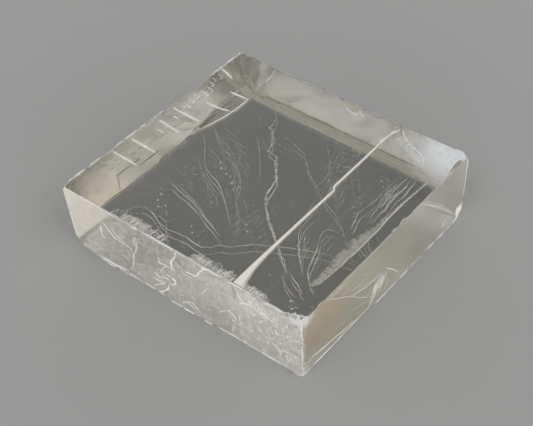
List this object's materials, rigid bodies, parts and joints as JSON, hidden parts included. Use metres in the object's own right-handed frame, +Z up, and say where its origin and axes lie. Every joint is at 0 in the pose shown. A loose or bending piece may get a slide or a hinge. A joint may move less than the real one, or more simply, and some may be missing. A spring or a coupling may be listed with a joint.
{
  "type": "optical calcite",
  "caption": "Clear calcite cleavage block, broad and low, with slanted sides, nicked edges and a long straight crack across its upper face.",
  "frame": {"origin": "middle of the footprint, on the surface that the block lies on", "axes": "+X along the long edges, from the left corner to the front corner; +Z up, across the block's thickness"},
  "size_m": [0.0868, 0.068, 0.0185],
  "materials": {
    "calcite": "clear polished broad faces with hairline scratches; finely frosted, warm grey sides; bright nicked edges"
  },
  "bodies": {
    "root": {"calcite_rhomb": "calcite"}
  },
  "joints": []
}
